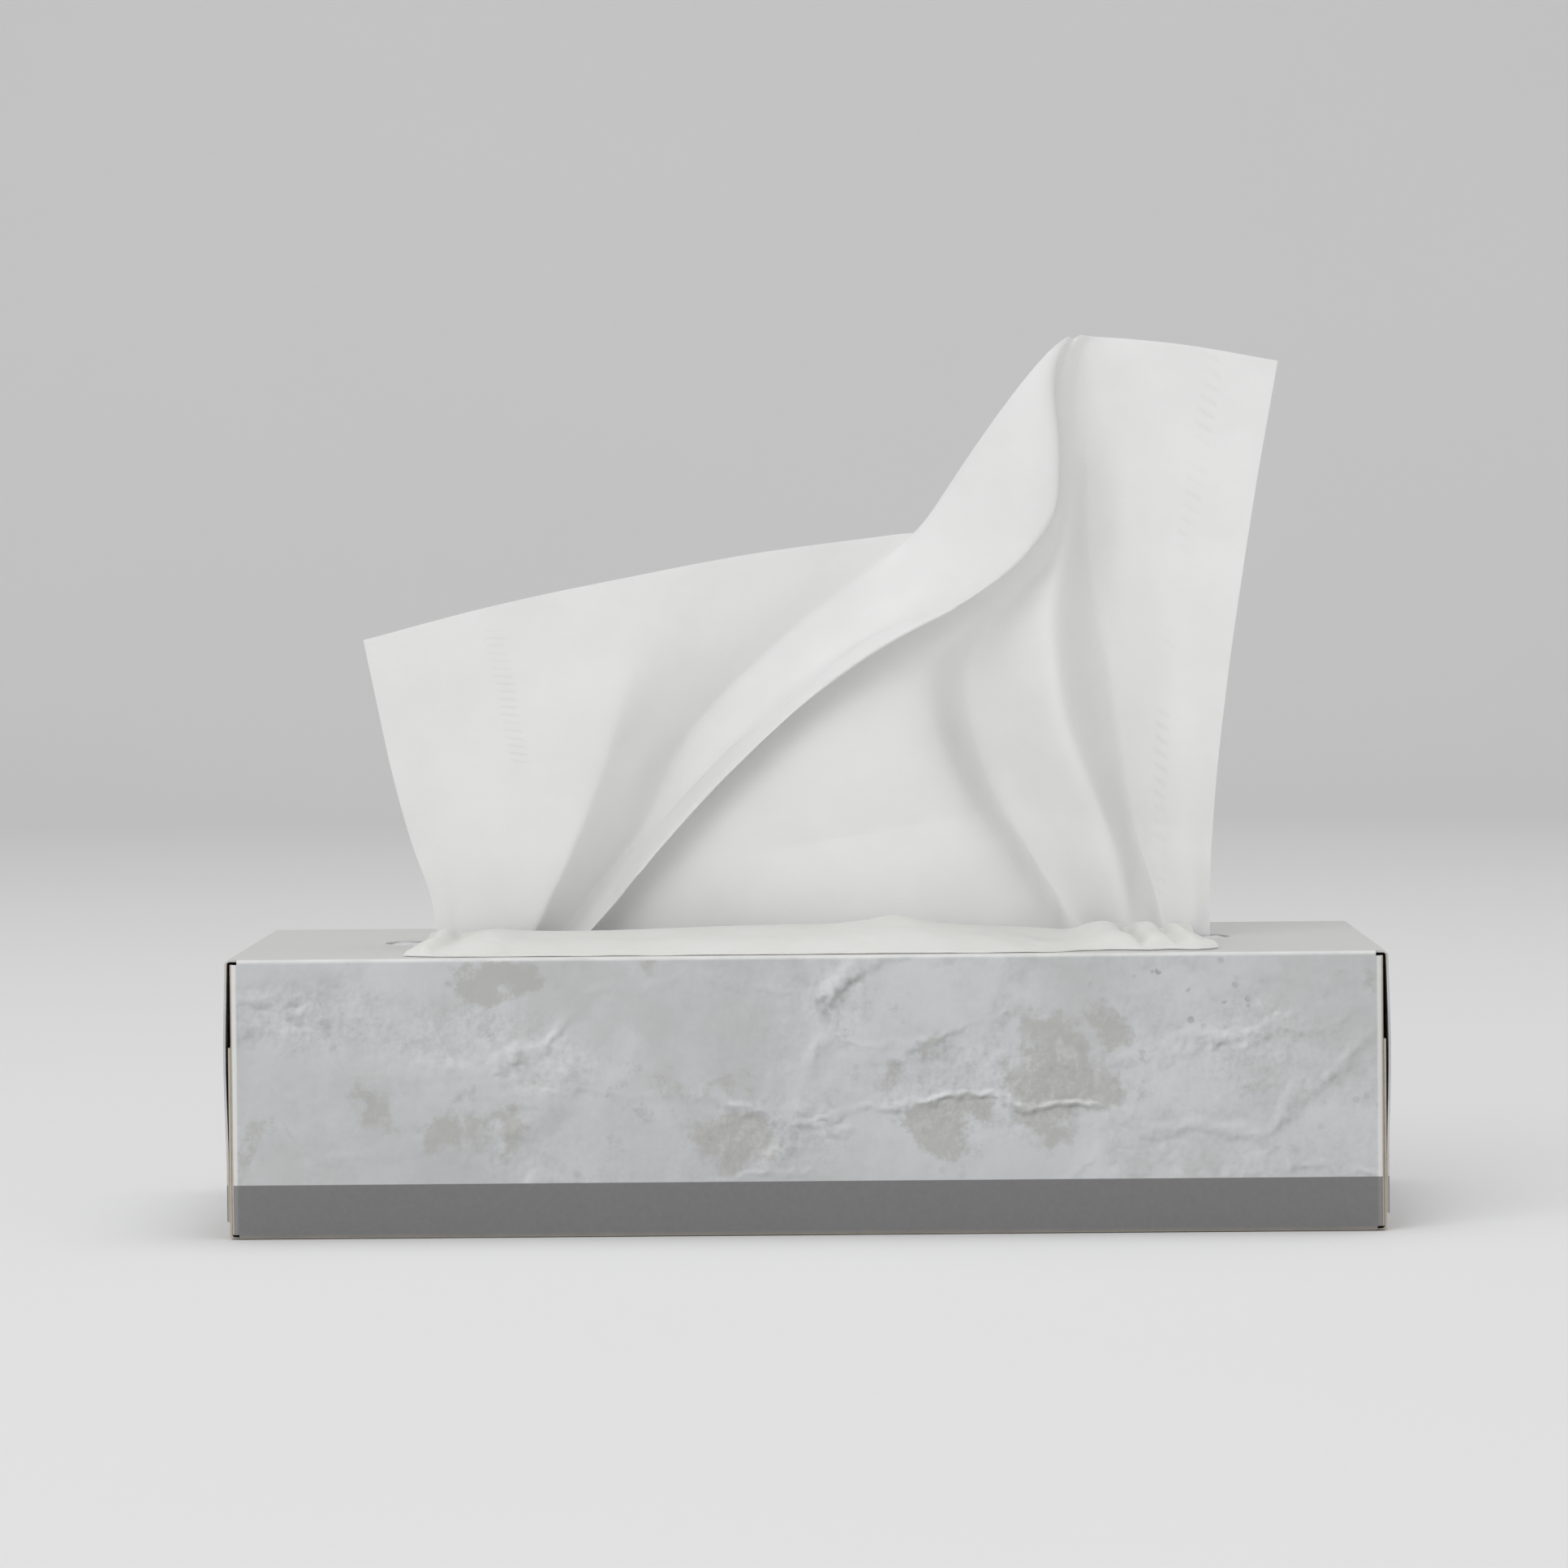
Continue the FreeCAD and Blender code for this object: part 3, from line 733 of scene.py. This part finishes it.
def net_object(name, rows, open_row=None):
    """Object with a mesh on a net in millimetres, with one row left open, and a UV map over it."""
    width = len(rows[0])
    vertices = [tuple(p * MM) for row in rows for p in row]
    faces, corners = [], []
    for i in range(len(rows) - 1):
        if i == open_row:
            continue
        for j in range(width - 1):
            faces.append((i * width + j, i * width + j + 1, (i + 1) * width + j + 1, (i + 1) * width + j))
            corners += [(j, i), (j + 1, i), (j + 1, i + 1), (j, i + 1)]
    mesh = bpy.data.meshes.new(name)
    mesh.from_pydata(vertices, [], faces)
    layer = mesh.uv_layers.new(name="sheet")
    across = [shares(row) for row in rows]
    for loop, (j, i) in zip(layer.data, corners):
        loop.uv = (across[i][j], i / (len(rows) - 1))
    piece = bpy.data.objects.new(name, mesh)
    bpy.context.scene.collection.objects.link(piece)
    return piece


def select_only(piece):
    """Makes one object the selected and active one."""
    bpy.ops.object.select_all(action="DESELECT")
    piece.select_set(True)
    bpy.context.view_layer.objects.active = piece


def select_edges(piece, chosen):
    """Selects the edges of which both ends pass a test, in edit mode."""
    bpy.ops.mesh.select_mode(type="EDGE")
    bpy.ops.mesh.select_all(action="DESELECT")
    bpy.ops.object.mode_set(mode="OBJECT")
    points = piece.data.vertices
    for edge in piece.data.edges:
        edge.select = all(chosen(points[i].co) for i in edge.vertices)
    bpy.ops.object.mode_set(mode="EDIT")


def join_points(piece, close=False):
    """Joins the points of a net that lie together, and closes its ends where that is asked for."""
    select_only(piece)
    bpy.ops.object.mode_set(mode="EDIT")
    bpy.ops.mesh.select_all(action="SELECT")
    bpy.ops.mesh.remove_doubles(threshold=SAME_POINT)
    if close:
        bpy.ops.mesh.fill_holes(sides=0)
        bpy.ops.mesh.select_all(action="SELECT")
        bpy.ops.mesh.normals_make_consistent(inside=False)
    bpy.ops.object.mode_set(mode="OBJECT")


def finish_sheet(piece, thickness, levels=1):
    """Rounds a sheet and gives it its thickness, with both modifiers applied."""
    select_only(piece)
    if levels:
        rounding = piece.modifiers.new("rounding", "SUBSURF")
        rounding.levels = levels
        rounding.render_levels = levels
        rounding.boundary_smooth = "PRESERVE_CORNERS"
        bpy.ops.object.modifier_apply(modifier="rounding")
    wall = piece.modifiers.new("thickness", "SOLIDIFY")
    wall.thickness = thickness
    wall.offset = -1.0
    bpy.ops.object.modifier_apply(modifier="thickness")
    bpy.ops.object.shade_smooth_by_angle(angle=SMOOTH_ANGLE)


class TissueBoxSettings(bpy.types.PropertyGroup):
    """Sizes and strengths of the finish."""

    strip_height: bpy.props.FloatProperty(
        name="Strip height", description="Height of the dark strip at the carton's foot",
        default=0.0107, min=0.0, max=0.05, unit="LENGTH", precision=4,
    )
    board_relief: bpy.props.FloatProperty(
        name="Board relief", description="Depth of the board's fibres",
        default=0.00015, min=0.0, max=0.002, unit="LENGTH", precision=5,
    )
    paper_relief: bpy.props.FloatProperty(
        name="Paper relief", description="Depth of the paper's creping",
        default=0.00012, min=0.0, max=0.002, unit="LENGTH", precision=5,
    )
    paper_thickness: bpy.props.FloatProperty(
        name="Paper thickness", description="Thickness of one two-ply sheet",
        default=0.0002, min=0.0001, max=0.001, unit="LENGTH", precision=5,
    )
    translucency: bpy.props.FloatProperty(
        name="Translucency", description="Share of light that passes through the paper",
        default=0.38, min=0.0, max=1.0, subtype="FACTOR",
    )
    fold_depth: bpy.props.FloatProperty(
        name="Fold depth", description="Depth of the folds in the left part, as a share of the solid's",
        default=0.56, min=0.1, max=1.5, subtype="FACTOR",
    )
    wrinkle: bpy.props.FloatProperty(
        name="Wrinkles", description="Height of the sheets' small wrinkles, in millimetres",
        default=0.45, min=0.0, max=2.0,
    )
    seed: bpy.props.IntProperty(
        name="Seed", description="Choice of wrinkles", default=4, min=0, max=1000,
    )


class StudioSettings(bpy.types.PropertyGroup):
    """Light and floor."""

    key_power: bpy.props.FloatProperty(
        name="Key light", description="Power of the large light at the front left",
        default=40.0, min=0.0, max=500.0, unit="POWER",
    )
    top_power: bpy.props.FloatProperty(
        name="Top light", description="Power of the large light overhead",
        default=20.5, min=0.0, max=500.0, unit="POWER",
    )
    fill_power: bpy.props.FloatProperty(
        name="Fill light", description="Power of the large light at the front right",
        default=6.5, min=0.0, max=500.0, unit="POWER",
    )
    sky: bpy.props.FloatProperty(
        name="Surround", description="Brightness of the even light from all round",
        default=0.465, min=0.0, max=3.0,
    )


class TISSUEBOX_OT_carton(bpy.types.Operator):
    """Give the folded carton its printed board"""

    bl_idname = "tissuebox.carton"
    bl_label = "Finish the carton"

    def execute(self, context):
        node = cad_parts["carton"]
        material = board_material(context.scene.tissue_box)
        node.data.materials.clear()
        node.data.materials.append(material)
        return {"FINISHED"}


class TISSUEBOX_OT_film(bpy.types.Operator):
    """Make the slit film under the top panel"""

    bl_idname = "tissuebox.film"
    bl_label = "Make the film"

    def execute(self, context):
        long = OPENING_LENGTH / 2 + FILM_BORDER
        wide = OPENING_WIDTH / 2 + FILM_BORDER
        rows = film_net(long, wide, context.scene.tissue_box.seed)
        piece = net_object("film_piece", rows, FILM_ROWS)
        join_points(piece)
        finish_sheet(piece, FILM_WALL, 0)
        piece.data.materials.append(film_material())
        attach(piece, "root")
        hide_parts("film")
        return {"FINISHED"}


class TISSUEBOX_OT_pile(bpy.types.Operator):
    """Make the pile of folded sheets"""

    bl_idname = "tissuebox.pile"
    bl_label = "Make the pile"

    def execute(self, context):
        settings = context.scene.tissue_box
        piece = net_object("pile_piece", pile_net(settings.seed))
        join_points(piece, close=True)
        bpy.ops.object.shade_smooth_by_angle(angle=SMOOTH_ANGLE)
        paper = paper_material("piled_paper", settings, tone(246, 246, 243), tone(236, 236, 232))
        piece.data.materials.append(paper)
        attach(piece, "root")
        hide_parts("tissue_stack")
        return {"FINISHED"}


class TISSUEBOX_OT_next_sheet(bpy.types.Operator):
    """Make the next sheet, which lies over the front of the top panel"""

    bl_idname = "tissuebox.next_sheet"
    bl_label = "Make the next sheet"

    def execute(self, context):
        settings = context.scene.tissue_box
        piece = net_object("next_sheet", pressed_in(next_net(), next_wrinkles(settings)))
        finish_sheet(piece, settings.paper_thickness)
        paper = paper_material("next_paper", settings, tone(247, 247, 245), tone(244, 244, 240))
        piece.data.materials.append(paper)
        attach(piece, "root")
        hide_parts("next_tissue")
        return {"FINISHED"}


class TISSUEBOX_OT_raised_sheet(bpy.types.Operator):
    """Make the sheet that stands in the slit"""

    bl_idname = "tissuebox.raised_sheet"
    bl_label = "Make the raised sheet"

    def execute(self, context):
        settings = context.scene.tissue_box
        rows = pressed_in(raised_net(settings.fold_depth), raised_wrinkles(settings))
        piece = net_object("raised_sheet", rows)
        finish_sheet(piece, settings.paper_thickness)
        light, dark = tone(247, 247, 247), tone(243, 243, 243)
        piece.data.materials.append(paper_material("raised_paper", settings, light, dark, folded=True))
        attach(piece, "root")
        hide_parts("raised_tissue")
        return {"FINISHED"}


class TISSUEBOX_OT_stage(bpy.types.Operator):
    """Set up the floor, backdrop, light and camera"""

    bl_idname = "tissuebox.stage"
    bl_label = "Set up the studio"

    def floor(self):
        """Floor that sweeps up into a backdrop."""
        back = (FLOOR_BACK + SWEEP_RADIUS) * MM
        length = FLOOR_FRONT * MM + back
        bpy.ops.object.select_all(action="DESELECT")
        bpy.ops.mesh.primitive_plane_add(size=1)
        sweep = bpy.context.object
        sweep.name = sweep.data.name = "floor"
        bpy.ops.object.mode_set(mode="EDIT")
        bpy.ops.transform.resize(value=(2 * FLOOR_HALF_WIDTH * MM, length, 1))
        bpy.ops.transform.translate(value=(0, back - length / 2, 0))
        select_edges(sweep, lambda p: p.y > back - MM)
        bpy.ops.mesh.extrude_edges_move(TRANSFORM_OT_translate={"value": (0, 0, BACKDROP_HEIGHT * MM)})
        select_edges(sweep, lambda p: p.y > back - MM and p.z < MM)
        bpy.ops.mesh.bevel(offset=SWEEP_RADIUS * MM, segments=SWEEP_STEPS)
        bpy.ops.object.mode_set(mode="OBJECT")
        bpy.ops.object.shade_smooth()
        material, shader, point, _ = new_material("studio_paper", 0.85)
        link(shader, Base_Color=point.noise(3.0, 2.0).mix(tone(226, 226, 226), tone(229, 229, 229)))
        sweep.data.materials.append(material)
        return sweep

    def lamp(self, name, power, size, place):
        """Square soft light aimed at the box."""
        data = bpy.data.lights.new(name, "AREA")
        data.energy = power
        data.size = size
        lamp = bpy.data.objects.new(name, data)
        bpy.context.scene.collection.objects.link(lamp)
        lamp.location = place
        aim = Vector((0, 0, 0.06)) - Vector(place)
        lamp.rotation_euler = aim.to_track_quat("-Z", "Y").to_euler()
        return lamp

    def camera(self):
        """Camera at the fitted place."""
        yaw, pitch, roll = (math.radians(a) for a in (CAMERA_YAW, CAMERA_PITCH, CAMERA_ROLL))
        level = Vector((-math.sin(yaw), math.cos(yaw), 0)) * math.cos(pitch)
        forward = level + Vector((0, 0, math.sin(pitch)))
        right = Vector((math.cos(yaw), math.sin(yaw), 0))
        up = right.cross(forward)
        turned_right = right * math.cos(roll) + up * math.sin(roll)
        turned_up = up * math.cos(roll) - right * math.sin(roll)
        data = bpy.data.cameras.new("camera")
        data.lens = CAMERA_LENS
        data.sensor_width = 36.0
        data.clip_start = 0.05
        data.clip_end = 50.0
        camera = bpy.data.objects.new("camera", data)
        bpy.context.scene.collection.objects.link(camera)
        turn = Matrix((turned_right, turned_up, -forward)).transposed().to_4x4()
        camera.matrix_world = Matrix.Translation(CAMERA_PLACE) @ turn
        bpy.context.scene.camera = camera
        return camera

    def surround(self, strength):
        """Even light from all round."""
        world = bpy.data.worlds.new("surround")
        world.use_nodes = True
        light = world.node_tree.nodes["Background"]
        light.inputs["Color"].default_value = (1.0, 1.0, 1.0, 1.0)
        light.inputs["Strength"].default_value = strength
        bpy.context.scene.world = world

    def execute(self, context):
        studio = context.scene.tissue_studio
        sweep = self.floor()
        key = self.lamp("key", studio.key_power, 2.4, (-1.4, -2.4, 1.6))
        top = self.lamp("top", studio.top_power, 2.0, (0.2, 0.3, 2.3))
        fill = self.lamp("fill", studio.fill_power, 2.2, (1.6, -2.4, 0.9))
        camera = self.camera()
        self.surround(studio.sky)
        context.scene.view_settings.view_transform = "Standard"
        return {"FINISHED"}


class TISSUEBOX_PT_panel(bpy.types.Panel):
    """Tissue box settings and steps"""

    bl_idname = "TISSUEBOX_PT_panel"
    bl_label = "Tissue box"
    bl_space_type = "VIEW_3D"
    bl_region_type = "UI"
    bl_category = "Tissue box"

    def draw(self, context):
        column = self.layout.column()
        for group in (context.scene.tissue_box, context.scene.tissue_studio):
            for name in group.__annotations__:
                column.prop(group, name)
        for name in STEPS:
            column.operator(f"tissuebox.{name}")


STEPS = ("carton", "film", "pile", "next_sheet", "raised_sheet", "stage")
CLASSES = (
    TissueBoxSettings, StudioSettings, TISSUEBOX_OT_carton, TISSUEBOX_OT_film, TISSUEBOX_OT_pile,
    TISSUEBOX_OT_next_sheet, TISSUEBOX_OT_raised_sheet, TISSUEBOX_OT_stage, TISSUEBOX_PT_panel,
)


def register():
    """Registers the classes and their settings."""
    for kind in CLASSES:
        bpy.utils.register_class(kind)
    bpy.types.Scene.tissue_box = bpy.props.PointerProperty(type=TissueBoxSettings)
    bpy.types.Scene.tissue_studio = bpy.props.PointerProperty(type=StudioSettings)


def unregister():
    """Removes the settings and classes."""
    del bpy.types.Scene.tissue_studio
    del bpy.types.Scene.tissue_box
    for kind in reversed(CLASSES):
        bpy.utils.unregister_class(kind)


def main():
    """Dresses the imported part."""
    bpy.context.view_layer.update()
    register()
    for name in STEPS:
        getattr(bpy.ops.tissuebox, name)()
    bpy.context.view_layer.update()


if __name__ == "__main__":
    main()
